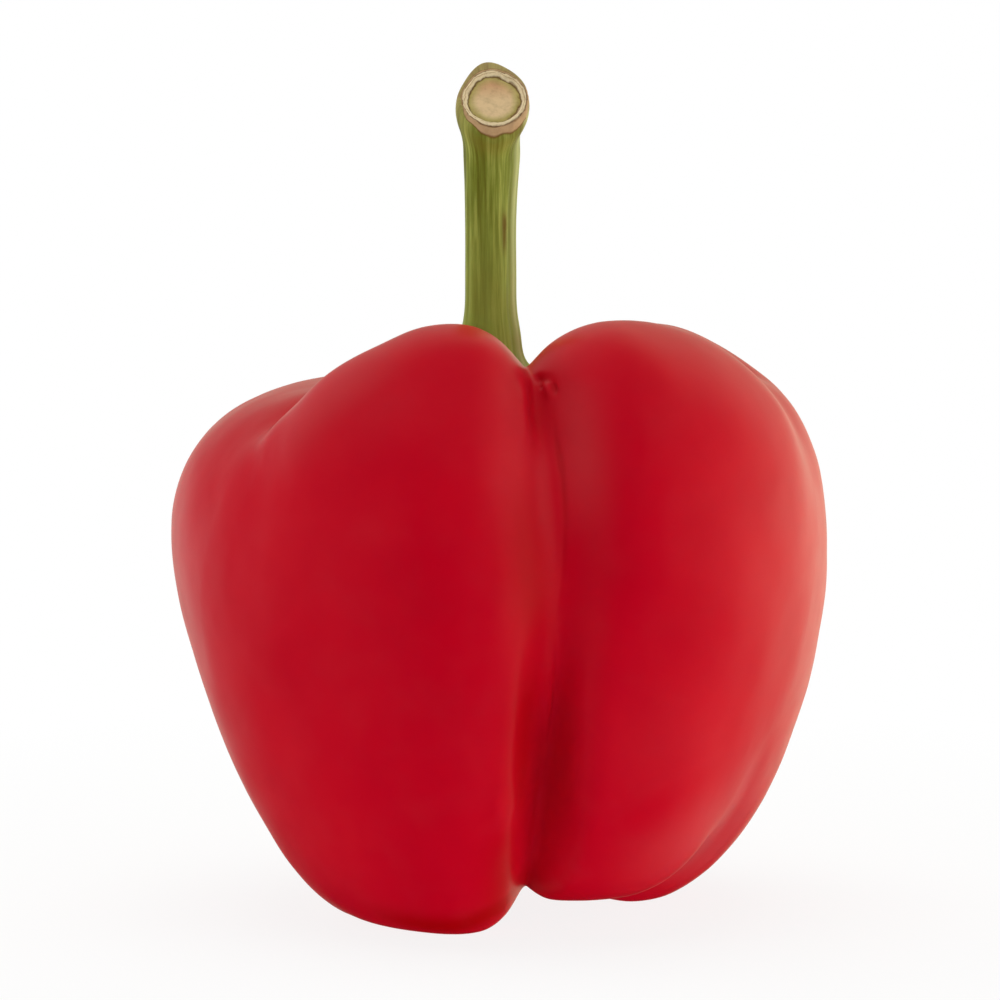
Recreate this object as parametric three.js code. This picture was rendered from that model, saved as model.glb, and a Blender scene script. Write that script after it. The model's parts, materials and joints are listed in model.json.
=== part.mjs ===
// Red bell pepper: a four-lobed fruit that stands on three of its lobes, with a cut stem in its crown.
// Millimetres, +Z up. The viewer's side is -Y, and Z = 0 is the surface that the pepper stands on.
import * as THREE from "three";

// Driving dimensions of the fruit.
// Rails run from crown to base: a lobe's crest, then the groove after it. reach is a rail's radius at the
// waist, crown and foot are the heights that it runs between, and taper is how much narrower it is at the
// foot than at the crown. at is its angle from +X towards +Y in degrees, and cleft is how deep a groove is
// cut in along its middle, as a share of the radius: both list values spaced evenly on the way down.
const RAILS = [
  // back right lobe
  { reach: 46.2, crown: 84, foot: -2.7, taper: 0.11, at: [30, 30] },
  { reach: 40, crown: 70, foot: 6, taper: 0.2, at: [97, 97], cleft: [0.06, 0.03, 0.06] },
  // back left lobe, and a groove that closes below the crown
  { reach: 46.2, crown: 75.8, foot: -3, taper: 0.29, at: [160, 160] },
  { reach: 45.2, crown: 76.3, foot: -3, taper: 0.2, at: [214, 202, 198], cleft: [0.17, 0.03, 0, 0, 0, 0, 0] },
  // front left lobe, and a groove that deepens towards the base
  { reach: 44, crown: 87.6, foot: -3, taper: 0.15, at: [253, 252, 246] },
  { reach: 39, crown: 82, foot: 2.3, taper: 0.19, at: [279, 283, 283], cleft: [0.12, 0.035, 0.08, 0.22, 0.2] },
  // front right lobe, clear of the ground
  { reach: 45.2, crown: 87.4, foot: 2.7, taper: 0.14, at: [308, 315, 315] },
  { reach: 45.4, crown: 82.5, foot: 6, taper: 0.12, at: [354, 342, 332], cleft: [0.02, 0, 0] },
];
const CLEFT_SPREAD = { before: 12, after: 9 }; // degrees from the middle of a cleft to its edges
const CLEFT_ROUND = 0.75; // 1 is a round cleft, less squares its edges
const WAIST = 73; // polar angle of the waist, in degrees from the top
const SHOULDER_ROUND = 0.56; // 1 is a round egg, less squares the shoulders
const BASE_ROUND = 0.44; // the same for the base
const LOBE_BULGE = 2.2; // how flat a lobe stays over its crest before it turns into the groove
const GROOVE_FILLET = { crown: 0.08, base: 0.25 }; // rounding in a groove, a share of the way to the crest
const CROWN_HOLLOW = { radius: 16, height: 70.5 }; // the sunken middle that holds the calyx
const BASE_HOLLOW = { radius: 11, height: 14 }; // the dimple between the feet
const HOLLOW_BULGE = 2.6; // how flat a hollow stays over its middle before it rises
const FRUIT_STEPS = 10; // facets from a crest to a groove
const FACET_CROWDING = 1.4; // 1 spaces them evenly, more crowds them towards the groove
const FRUIT_RINGS = 46;

// Driving dimensions of the stem and its calyx, which grew as one piece.
const STEM_AT = new THREE.Vector2(-1.7, 0.5); // the stem's axis
const SEAT_GAP = 0.3; // clearance between the calyx and the fruit
const CALYX_REACH = 11.5; // radius between the calyx's points
const CALYX_POINT = 2.5; // how far a point stands out
const CALYX_POINTS = 5; // one for each rib of the stalk
const CALYX_EDGE = 0.9; // thickness at the margin
const CALYX_RISE = 3.6; // how much thicker it is where it meets the stalk
// Shares of the calyx's radius: over it from the stalk to the margin, then under it to the middle.
const CALYX_OVER = [0.55, 0.66, 0.77, 0.88, 0.96, 1];
const CALYX_UNDER = [0.98, 0.85, 0.7, 0.5, 0.3, 0.15];
// Down the stalk: a ring's height on the axis, its radius and its share of the cut's slope.
const STALK = [
  { height: 114.2, radius: 4.8, lean: 1 },
  { height: 113.4, radius: 5.05, lean: 1 },
  { height: 111.6, radius: 4.85, lean: 0.92 },
  { height: 109, radius: 4.25, lean: 0.75 },
  { height: 105, radius: 3.9, lean: 0.4 },
  { height: 98, radius: 3.7, lean: 0 },
  { height: 90, radius: 3.7, lean: 0 },
  { height: 84, radius: 3.85, lean: 0 },
  { height: 80, radius: 4.8, lean: 0 },
  { height: 77.5, radius: 5.9, lean: 0 },
];
const STALK_RINGS = 24;
const CUT_SLOPE = 39; // degrees from level, open to the viewer
const CUT_ASIDE = 0.7; // how far the cut sits to the right of the stalk's axis
// Across the cut, from its middle out: the share of the rim's radius and how far it stands above the cut.
const CUT = [
  { share: 0.4, rise: -0.45 }, // pith
  { share: 0.7, rise: -0.35 },
  { share: 0.84, rise: 0.1 }, // woody ring
  { share: 0.95, rise: 0.3 },
];
// Knobs round the rim: the angle and its spread in degrees, and how far the rim stands out and up there.
const KNOBS = [
  { at: 190, spread: 28, out: 0.55, up: 0 },
  { at: 108, spread: 34, out: 0.15, up: 0.9 },
  { at: 330, spread: 30, out: 0.15, up: 0 },
];
const RIB_DEPTH = 0.035; // share of the stalk's radius
const STEM_SEGMENTS = 50;

const DEG = Math.PI / 180;
const mix = THREE.MathUtils.lerp;

// 1 in the middle of the crown and 0 in the middle of the base.
function lift(polar) {
  return (1 + Math.cos(polar)) / 2;
}

// Value at a polar angle, from values that are spaced evenly from the crown to the base.
function along(values, polar) {
  const spots = values.map((value, index) => new THREE.Vector2(index, value));
  return new THREE.SplineCurve(spots).getPoint(1 - lift(polar)).y;
}

// Way from a crest (0) to a groove (1) as a share of the groove's depth.
function grooveShare(way, fillet) {
  const fromGroove = Math.hypot(1 - way, fillet) - fillet;
  const fromCrest = 1 - fromGroove / (Math.hypot(1, fillet) - fillet);
  return fromCrest ** LOBE_BULGE;
}

// The rail at any angle, in degrees, blended from the crest and the groove on either side of it.
function railAt(angle, polar) {
  const angles = RAILS.map((rail) => along(rail.at, polar));
  const turn = THREE.MathUtils.euclideanModulo(angle - angles[0], 360) + angles[0];
  let index = RAILS.length - 1;
  while (angles[index] > turn) index -= 1;
  const next = (index + 1) % RAILS.length;
  const span = THREE.MathUtils.euclideanModulo(angles[next] - angles[index], 360);
  const isCrest = index % 2 === 0;
  const crest = RAILS[isCrest ? index : next];
  const groove = RAILS[isCrest ? next : index];
  const fromGroove = isCrest ? span - (turn - angles[index]) : turn - angles[index];
  const fillet = mix(GROOVE_FILLET.base, GROOVE_FILLET.crown, lift(polar));
  const share = grooveShare(1 - fromGroove / span, fillet);
  const blend = (size) => mix(crest[size], groove[size], share);
  const spread = isCrest ? CLEFT_SPREAD.before : CLEFT_SPREAD.after;
  const inCleft = Math.cos((Math.PI / 2) * Math.min(fromGroove / spread, 1)) ** (2 * CLEFT_ROUND);
  return {
    reach: blend("reach"),
    crown: blend("crown"),
    foot: blend("foot"),
    taper: blend("taper"),
    cleft: Math.max(along(groove.cleft, polar), 0) * inCleft,
  };
}

// Radius of a rail, from the middle of the crown (polar 0) to the middle of the base (polar PI).
function railRadius(rail, polar) {
  const rounding = mix(BASE_ROUND, SHOULDER_ROUND, lift(polar));
  const egg = (Math.sin(polar) / Math.sin(WAIST * DEG)) ** rounding;
  const tapered = 1 + rail.taper * (Math.cos(polar) - Math.cos(WAIST * DEG));
  return rail.reach * egg * tapered * (1 - rail.cleft);
}

// Height of a rail that sinks into the hollow at its crown or base.
function sunk(height, radius, hollow) {
  return mix(height, hollow.height, Math.exp(-((radius / hollow.radius) ** HOLLOW_BULGE)));
}

// A point of the fruit's skin.
function skinPoint(angle, polar) {
  const rail = railAt(angle, polar);
  const radius = railRadius(rail, polar);
  const level = mix(rail.foot, rail.crown, lift(polar));
  const height = sunk(level, radius, polar < Math.PI / 2 ? CROWN_HOLLOW : BASE_HOLLOW);
  const x = radius * Math.cos(angle * DEG);
  const y = radius * Math.sin(angle * DEG);
  return new THREE.Vector3(x, y, Math.max(height, 0));
}

// Closed surface over rings of points, from one end point to the other.
function closedOverRings(first, rings, last) {
  const count = rings[0].length;
  const points = [first, ...rings.flat(), last];
  const faces = [];
  for (let side = 0; side < count; side += 1) {
    const beside = (side + 1) % count;
    faces.push(0, 1 + side, 1 + beside);
    for (let ring = 0; ring + 1 < rings.length; ring += 1) {
      const here = 1 + ring * count;
      const below = here + count;
      faces.push(here + side, below + side, below + beside);
      faces.push(here + side, below + beside, here + beside);
    }
    const lastRing = 1 + (rings.length - 1) * count;
    faces.push(lastRing + side, points.length - 1, lastRing + beside);
  }
  const geometry = new THREE.BufferGeometry().setFromPoints(points).setIndex(faces);
  geometry.computeVertexNormals();
  return geometry;
}

// Angles of the fruit's facets in a ring: closer together near the grooves.
function fruitAngles(polar) {
  const angles = RAILS.map((rail) => along(rail.at, polar));
  return angles.flatMap((angle, index) => {
    const span = THREE.MathUtils.euclideanModulo(angles[(index + 1) % RAILS.length] - angle, 360);
    return Array.from({ length: FRUIT_STEPS }, (_, step) => {
      const way = step / FRUIT_STEPS;
      return angle + span * (index % 2 === 0 ? 1 - (1 - way) ** FACET_CROWDING : way ** FACET_CROWDING);
    });
  });
}

// Polar angles that space the rings evenly along a rail.
function fruitPolars() {
  const samples = 400;
  const spots = Array.from({ length: samples + 1 }, (_, step) => {
    const point = skinPoint(RAILS[0].at[0], (Math.PI * step) / samples);
    return new THREE.Vector2(Math.hypot(point.x, point.y), point.z);
  });
  const rail = new THREE.SplineCurve(spots);
  rail.arcLengthDivisions = samples;
  return Array.from({ length: FRUIT_RINGS }, (_, ring) => {
    const way = (ring + 1) / (FRUIT_RINGS + 1);
    return Math.PI * rail.getUtoTmapping(way);
  });
}

function fruitGeometry() {
  const rings = fruitPolars().map((polar) => fruitAngles(polar).map((angle) => skinPoint(angle, polar)));
  const middle = (hollow) => new THREE.Vector3(0, 0, hollow.height);
  return closedOverRings(middle(CROWN_HOLLOW), rings, middle(BASE_HOLLOW));
}

// Height of the fruit's crown over a point of its plan.
function crownHeight(x, y) {
  const angle = Math.atan2(y, x) / DEG;
  let inner = 0;
  let outer = WAIST * DEG;
  while (outer - inner > 1e-6) {
    const polar = (inner + outer) / 2;
    if (railRadius(railAt(angle, polar), polar) < Math.hypot(x, y)) inner = polar;
    else outer = polar;
  }
  return skinPoint(angle, outer).z;
}

// A point of the calyx, at a share of the way out to its margin and a height above its seat on the fruit.
function calyxPoint(angle, share, height) {
  const tip = (1 - Math.abs(Math.sin((CALYX_POINTS * angle) / 2))) ** 2;
  const radius = share * (CALYX_REACH + CALYX_POINT * tip);
  const x = STEM_AT.x + radius * Math.cos(angle);
  const y = STEM_AT.y + radius * Math.sin(angle);
  return new THREE.Vector3(x, y, crownHeight(x, y) + SEAT_GAP + height);
}

// A point of the stalk or its cut, on a ring that leans with the cut. The ribs fade out where it leans.
function stalkPoint(angle, { radius, height, lean, knobbed }) {
  let out = radius * (1 + (1 - lean) * RIB_DEPTH * Math.cos(CALYX_POINTS * angle));
  let up = height;
  for (const knob of KNOBS) {
    const apart = THREE.MathUtils.euclideanModulo(angle / DEG - knob.at + 180, 360) - 180;
    const swell = knobbed * Math.exp(-((apart / knob.spread) ** 2));
    out += swell * knob.out;
    up += swell * knob.up;
  }
  const x = out * Math.cos(angle);
  const y = out * Math.sin(angle);
  const tilt = lean * y * Math.tan(CUT_SLOPE * DEG);
  return new THREE.Vector3(STEM_AT.x + lean * CUT_ASIDE + x, STEM_AT.y + y, up + tilt);
}

function stemGeometry() {
  const angles = Array.from({ length: STEM_SEGMENTS }, (_, side) => (2 * Math.PI * side) / STEM_SEGMENTS);
  const round = (pointAt) => angles.map(pointAt);
  const rim = STALK[0];
  const acrossCut = ({ share, rise }) => {
    const radius = share * rim.radius;
    const height = rim.height + rise;
    return round((angle) => stalkPoint(angle, { radius, height, lean: rim.lean, knobbed: share ** 3 }));
  };
  const course = new THREE.CatmullRomCurve3(
    STALK.map(({ height, radius, lean }) => new THREE.Vector3(radius, lean, height)),
  );
  const downStalk = ({ x: radius, y: lean, z: height }) =>
    round((angle) => stalkPoint(angle, { radius, height, lean, knobbed: lean }));
  const overCalyx = (share) => {
    const inward = (1 - share) / (1 - CALYX_OVER[0]);
    return round((angle) => calyxPoint(angle, share, CALYX_EDGE + CALYX_RISE * inward ** 2));
  };
  const underCalyx = (share) => round((angle) => calyxPoint(angle, share, 0));
  const rings = [
    ...CUT.map(acrossCut),
    ...course.getSpacedPoints(STALK_RINGS).map(downStalk),
    ...CALYX_OVER.map(overCalyx),
    ...CALYX_UNDER.map(underCalyx),
  ];
  const middle = new THREE.Vector3(STEM_AT.x + CUT_ASIDE, STEM_AT.y, rim.height + CUT[0].rise);
  return closedOverRings(middle, rings, calyxPoint(0, 0, 0));
}

// A named piece with its own finish.
function piece(name, geometry, color, roughness) {
  const mesh = new THREE.Mesh(geometry, new THREE.MeshStandardMaterial({ color, roughness, metalness: 0 }));
  mesh.name = name;
  return mesh;
}

const pepper = new THREE.Group();
pepper.add(piece("fruit", fruitGeometry(), 0xb5121b, 0.3));
pepper.add(piece("stem", stemGeometry(), 0x76832e, 0.65));

// The origin is under the middle of the pepper.
const middle = new THREE.Box3().setFromObject(pepper).getCenter(new THREE.Vector3());
pepper.position.set(-middle.x, -middle.y, 0);

export default pepper;
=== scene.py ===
"""Red bell pepper: the looks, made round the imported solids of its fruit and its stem."""

import json
import math

import bpy
import numpy as np
from bpy.props import FloatProperty, FloatVectorProperty, IntProperty, PointerProperty
from collections import namedtuple
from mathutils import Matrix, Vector

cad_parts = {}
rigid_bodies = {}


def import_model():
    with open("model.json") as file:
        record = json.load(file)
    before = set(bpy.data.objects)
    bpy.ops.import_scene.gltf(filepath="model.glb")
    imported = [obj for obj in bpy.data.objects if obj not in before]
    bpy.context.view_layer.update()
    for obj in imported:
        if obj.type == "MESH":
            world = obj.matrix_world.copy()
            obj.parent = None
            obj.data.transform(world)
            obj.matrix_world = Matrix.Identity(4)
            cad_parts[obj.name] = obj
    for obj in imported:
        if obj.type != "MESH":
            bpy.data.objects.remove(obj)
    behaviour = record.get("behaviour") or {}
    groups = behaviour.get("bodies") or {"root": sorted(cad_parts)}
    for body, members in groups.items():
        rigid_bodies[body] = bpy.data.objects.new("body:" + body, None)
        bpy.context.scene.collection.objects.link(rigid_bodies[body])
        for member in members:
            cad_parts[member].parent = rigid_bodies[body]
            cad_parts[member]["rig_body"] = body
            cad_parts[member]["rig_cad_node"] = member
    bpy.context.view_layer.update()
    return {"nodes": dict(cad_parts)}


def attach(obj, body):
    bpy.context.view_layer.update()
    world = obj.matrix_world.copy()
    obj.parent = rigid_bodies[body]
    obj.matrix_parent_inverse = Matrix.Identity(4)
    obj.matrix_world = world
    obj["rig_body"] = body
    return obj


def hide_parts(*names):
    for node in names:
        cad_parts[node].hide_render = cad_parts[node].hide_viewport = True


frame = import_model()

bl_info = {
    "name": "Red bell pepper",
    "version": (1, 0, 0),
    "blender": (4, 5, 0),
    "location": "3D View > Sidebar > Pepper",
    "description": "Makes a waxy red bell pepper with its stem, and the studio that it stands in",
    "category": "Object",
}

MM = 0.001
FAR = 0.3  # outside the pepper, in metres

MERGE_GAP = 0.005  # facets whose corners are nearer than this share them, in millimetres
LEAST_WEIGHT = 0.002  # a vertex with less weight than this isn't moved

# A mark that growth left on a surface: the distance over which it fades to its sides, its depth,
# negative where it is raised, and its course as points that each give an angle from +X towards +Y and a
# height, in degrees and millimetres.
Mark = namedtuple("Mark", "name width depth course")
# How many widths to its sides a mark still counts, the share of its course over which it fades in and
# out, and the strength that it has at its ends.
SIDE_REACH = 3
END_FADE = 0.3
END_STRENGTH = 0.1

# The deep fold between the two front lobes. The skin is cut finer where its nearness to this course,
# over a width in millimetres, is above a share.
FRONT_FOLD = ((281, 77.5), (281, 74), (283, 66), (283.5, 57), (282, 45), (283, 32), (284, 20))
FINE_WIDTH = 5
FINE_SHARE = 0.3
FINE_CUTS = 2
# Stretches where the surface runs over the solid's grooves more evenly, before the facets are rounded
# and after: the width, then how often it is evened out.
FLESH_EVENED = (
    Mark("left_fold", 7, 25, ((209, 69), (212, 66), (214, 63), (214, 59), (213, 54), (211, 44))),
    Mark("right_fold", 6, 14, ((347, 6), (342, 9.5), (338, 15), (337, 20), (337, 27))),
)
SKIN_EVENED = (
    Mark("pocket_floor", 2, 110, ((281, 77.3), (280.7, 75), (280.6, 72), (281, 68))),
    Mark("front_groove", 2, 27, ((281, 72), (281.5, 66), (282.5, 60), (283, 52))),
)
# Folds and hollows of the skin, and its ridges and fuller places, which have a negative depth.
SKIN_FOLDS = (
    Mark("left_fold_floor", 6.5, -1.4, ((211, 69), (210.5, 66.5), (210, 64), (209.5, 61), (209, 57))),
    Mark("left_fold_end", 5, -1.5, ((210.5, 71.5), (210, 70), (209.5, 68), (209, 66.5), (208.5, 65))),
    Mark("left_ridge", 4, -1.8, ((222, 73), (219, 71), (216.5, 69.5), (214.5, 68), (213, 66.5))),
    Mark(
        "far_left_shoulder",
        6,
        -2.6,
        ((243, 80.5), (237, 78.8), (233, 77), (229, 74), (227, 71.5), (225, 69)),
    ),
    Mark("far_right_crown", 4.5, 1.7, ((20, 79.8), (12, 79.2), (7, 78.2), (4, 77), (0, 74.6))),
    Mark("right_foot", 6, -2, ((312, 6), (318, 7), (323, 8.5), (328, 11.5), (331.5, 14), (334.5, 18))),
    Mark(
        "left_shoulder",
        4,
        -1.1,
        ((262, 82.6), (265.5, 82.1), (268.5, 81.4), (271.5, 80.2), (274.6, 78.4), (277, 76.8)),
    ),
    Mark("right_shoulder", 4, -0.6, ((286, 77.8), (287.5, 79.6), (290.8, 81.4), (296.1, 82.6))),
    Mark("pocket_edge", 1.6, -0.6, ((276.6, 77.5), (275.4, 75.3), (275.3, 71.6), (274.9, 68))),
    Mark("front_pocket", 1.4, 0.4, ((281, 77.6), (279.7, 75), (279.3, 72), (279.6, 69))),
    Mark("notch_fold", 0.5, 0.4, ((281, 77.9), (282.2, 77.7), (284.8, 77.9))),
    Mark("notch_dent_left", 0.4, 0.3, ((281.6, 77.8), (281.6, 76.4))),
    Mark("notch_dent_right", 0.4, 0.3, ((283.9, 77.8), (284.2, 76))),
    Mark("notch_knob", 0.6, -0.25, ((282.8, 77.3), (282.8, 75.4))),
    Mark("right_trough", 6, 1.2, ((289, 79), (289, 74), (288.5, 66), (287.5, 57), (286, 46))),
    Mark("right_crest", 4, -0.5, ((298, 81), (297, 74), (296.5, 66), (296, 58), (295, 50))),
    Mark("valley_edge", 2, -0.5, ((273, 46), (272.4, 35.6), (271.1, 22.8), (271, 19), (272.7, 12))),
    Mark(
        "crease_and_painted_shade",
        0.45,
        0.15,
        ((283.4, 76), (283.1, 70), (283.6, 66), (283.9, 60), (283.5, 52), (281.8, 44)),
    ),
    Mark("lower_seam", 0.7, -0.3, ((281.8, 47), (281.5, 38), (282.4, 32), (284.2, 24))),
    Mark("right_valley_wall", 4, -1.3, ((289.5, 42), (290, 36), (291, 29), (292, 22), (293, 15))),
)
# Bands of painted sheen, where the red is paled like a reflection: the width, then its strength.
SKIN_PAINTED_SHEEN = (
    Mark(
        "shoulder_sheen", 4.5, 0.15, ((246, 81), (240, 80), (235, 78), (230, 75), (227, 71), (223, 67))
    ),
    Mark("flank_sheen", 3.5, 0.075, ((287.5, 79), (287.8, 76), (288, 70), (287.8, 64), (287.5, 57))),
    Mark("left_crown_sheen", 6, 0.03, ((252, 80), (246, 78), (242, 76), (239, 73), (237, 69))),
    Mark("right_crown_sheen", 5, 0.04, ((315, 80.5), (319, 79), (324, 75.5), (329, 72), (334, 68))),
    Mark("inner_shoulder_sheen", 4, 0.08, ((286.5, 78), (288, 80), (291, 81.3), (295, 82))),
    Mark("belly_sheen", 9, 0.04, ((300, 27), (305, 28), (310, 29), (315, 29), (320, 31))),
    Mark("ridge_sheen", 1.8, 0.06, ((279, 70), (278.5, 66), (278.7, 61), (279.5, 56))),
    Mark("left_flank_sheen", 5, 0.05, ((273, 76), (274, 71), (274, 66), (274, 61), (274, 55))),
    Mark("foot_sheen", 6, 0.1, ((308, 10), (316, 11), (324, 14), (330, 18), (334, 25), (336, 33))),
    Mark(
        "foot_ridge_sheen",
        3.2,
        0.2,
        ((353, 4), (348, 7.3), (343, 11.6), (338.5, 17), (337, 23), (335.5, 29)),
    ),
    Mark(
        "far_foot_sheen",
        4,
        0.13,
        ((358.8, 2.9), (356, 6), (351.5, 9), (349, 13), (347, 17), (345, 22), (345.5, 27)),
    ),
)
# Painted shade: hollows, walls of folds and undersides where the red is painted deeper, as their
# shadow: the width, then its strength.
SKIN_PAINTED_SHADES = (
    Mark("pocket_shade", 1.8, 0.28, ((281, 77.6), (279.5, 75), (278.9, 72), (278.6, 69))),
    Mark("ridge_shade", 4, 0.45, ((274, 68), (274.5, 62), (275, 56), (276, 50), (276.5, 45), (277, 40))),
    Mark("valley_shade", 3.2, 0.6, ((276.5, 45), (275.5, 36), (275, 28), (275, 20), (276, 10))),
    Mark("inner_foot_shade", 3.5, 0.65, ((272.5, 20), (272, 15), (271.5, 10), (271, 6), (268, 3.5))),
    Mark(
        "sole_shade",
        2.6,
        0.8,
        ((223, 3.2), (233, 2.7), (244, 2.2), (257, 2), (268.5, 4), (277, 7.2), (290, 6), (303, 5.5)),
    ),
)

NARROW_FOLD = 1  # a fold narrower than this gets painted shade in its bottom, in millimetres
FOLD_RED = 0.3  # share of the painted shade's red in the bottom of a narrow fold
SHEEN_LOSS = 2  # how much faster the painted sheen fades than the painted shade deepens

# Sizes of the skin's patterns: its clouding, the haze that mottles its painted sheen and sets its
# roughness, and its pores, which are drawn coarser than real ones so that they show.
CLOUD_SIZE = 16 * MM
HAZE_SIZE = 6 * MM
PORE_SIZE = 0.9 * MM
# Sizes of the stem's patterns: the spots of mould and the crumbs of the cut, and the width of a fibre
# of the bark in millimetres, which is drawn coarser than a real one so that it shows.
MOULD_SIZE = 1.2 * MM
CRUMB_SIZE = 1.5 * MM
FIBRE_WIDTH = 0.55
GRAIN_RADIUS = 4  # radius at which the fibres are laid round the stalk, in millimetres
GRAIN_STRETCH = 0.05  # a fibre's width as a share of its length

# Shares of the cut's radius at which the pith and the woody ring end, and how much less the ring
# reaches at the back, where bark stands behind it.
PITH_EDGE = 0.74
RING_EDGE = 0.93
RING_BACK = 0.1
CUT_DIP = 1.4  # how far the cut's face dips under its plane, and 1 more at the back, in millimetres
RIM_SHARE = 0.3  # widest share of the cut's radius that counts as the rim outside the ring
LIP_DEPTH = 3  # how far below the cut the lip can reach, in millimetres
LIP_END = 0.7  # way over the cut at the lower edge of the dried lip
BARK_WAY = 2  # way over the cut that stands for all bark further down
LIP_WAY = math.radians(-66)  # angle at which the dried lip is highest, just right of the front
# Waves of the lip's torn edge round the cut: how many, how high, and where they start.
LIP_WAVES = ((7, 0.12, 0), (13, 0.09, 1))
RIDGE_WAY = math.radians(-20)  # angle of the pale ridge up the right of the stalk
RIDGE_SPREAD = 0.14  # angle over which the ridge fades to its sides
RIDGE_STRENGTH = 0.65
STRAIGHT_STALK = (88, 100)  # heights that the stalk runs straight between, in millimetres
# Ribs round the stalk: how many, how high, where they start, and how far they wander on their way up.
RIBS = ((5, 0.25, -0.2, 0), (9, 0.15, 1.3, 1), (17, 0.1, 0.4, -2))
RIB_MIDDLE = 0.45  # height halfway between a valley and a rib
RIB_WANDER = 0.3  # angle by which a rib wanders
RIB_WAVE = 8  # height over which it wanders, in millimetres
RIDGE_RISE = 0.6  # how much the pale ridge adds to the ribs
RIBS_BELOW = 3  # how far below the cut the ribs start, and over how much they deepen, in millimetres
STALK_RADIUS = 4.5  # radius where the stalk turns into the calyx, in millimetres
CALYX_WIDTH = 3  # distance over which the ribs flatten on the calyx, in millimetres
CALYX_EASE = 0.6  # share of their depth that they lose there
# The ragged edge: the way over the cut that it is at, how far it spreads along that way, its height in
# millimetres, and the size of its crumbs.
RAGGED_EDGE = (0.52, 0.15, 0.7)
RAGGED_SIZE = 1.6 * MM
# The neck: how far below the cut it is, how far it spreads and its depth, in millimetres, and the share
# of it that goes all round.
NECK = (4.5, 2.4, 0.6)
NECK_ROUND = 0.3
# The slim foot of the stalk: its height, how far it spreads, its depth, and the radius that it is
# within, in millimetres.
SLIM_FOOT = (78, 2.5, 0.8)
FOOT_RADIUS = 9
# Darker brown just under the front lip: how far below the cut it is and how far it spreads, in
# millimetres, and its strength.
UNDER_LIP_DARKENING = (2.5, 2, 0.35)
DRIED_DEPTH = 3.5  # how far below the cut the bark is dried at the back and the sides, in millimetres
DRIED_SHARE = 0.55  # share of cork in the driest bark
# Cracks round the cut: the way over the cut that each is at, how far it spreads along that way, and
# its depth in millimetres.
CUT_CRACKS = ((0.37, 0.025, 0.4), (0.43, 0.008, 0.25), (0.485, 0.012, 0.3), (0.75, 0.03, 0.2))
PITH_TINGE = (-0.4, 1.8)  # heights over the cut's middle where its tinge starts and is full
PALE_BARK = (103, 84)  # heights where the bark starts to pale and is palest, in millimetres
STAIN = Mark("rubbed_streak", 0.5, 0, ((292, 99), (293, 96), (294, 92)))

# The ring of lights: azimuths from the camera's side and the elevation in degrees, width and height in
# metres, and watts: in front, and what each degree adds to the right and to either side.
RING_WAYS = range(-120, 121, 30)
RING_ELEVATION = -15
RING_SIZE = (0.52, 1.6)
RING_WATTS = 2.15
RING_RIGHT = 0.008
RING_SIDES = 0.024
LIGHT_DISTANCE = 1  # from the lights to what they face, in metres
LIGHT_AIM = 50  # height that the lights face, in millimetres
FLOOR_SIZE = 12  # in metres
SENSOR = 36  # width of the camera's sensor, in millimetres


def linear(code):
    """Linear colour of an sRGB hex value."""
    shares = [int(code[i:i + 2], 16) / 255 for i in (1, 3, 5)]
    return [s / 12.92 if s <= 0.04045 else ((s + 0.055) / 1.055) ** 2.4 for s in shares]


def colour(name, code, description):
    """A colour property whose default is an sRGB hex value."""
    return FloatVectorProperty(
        name=name, description=description, subtype="COLOR", size=3, min=0, max=1, default=linear(code)
    )


def length(name, millimetres, description):
    """A length property whose default is in millimetres."""
    return FloatProperty(
        name=name, description=description, unit="LENGTH", precision=5, default=millimetres * MM
    )


def incline(name, degrees, description):
    """An angle property whose default is in degrees."""
    return FloatProperty(
        name=name, description=description, subtype="ANGLE", default=math.radians(degrees)
    )


class FruitSettings(bpy.types.PropertyGroup):
    """Sizes and colours of the fruit."""

    skin: colour("Skin", "#C1041F", "Red of the ripe skin")
    deep: colour("Deep skin", "#BD031E", "Darker red in the clouding of the skin")
    bright: colour("Bright skin", "#C50820", "Lighter, warmer red in the clouding of the skin")
    # Painted shade: the deeper red that folds, hollows and undersides are painted towards.
    crease_and_painted_shade: colour("Crease", "#A00001", "Deeper red in folds and hollows, and under the lobes")
    # Painted sheen: the pale colour laid on in bands where the skin should reflect its surroundings.
    painted_sheen: colour("Bloom", "#D08A86", "Pale film of wax")
    roundings: IntProperty(name="Roundings", description="Times that the facets are rounded", default=2)
    swell: length("Swell", 0.5, "Height of the uneven swelling of the flesh")
    swell_size: length("Swell size", 14, "Distance from one swelling to the next")
    ripple: length("Ripple", 0.1, "Height of the finer unevenness that blurs the reflections")
    ripple_size: length("Ripple size", 6, "Distance from one ripple to the next")


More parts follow.
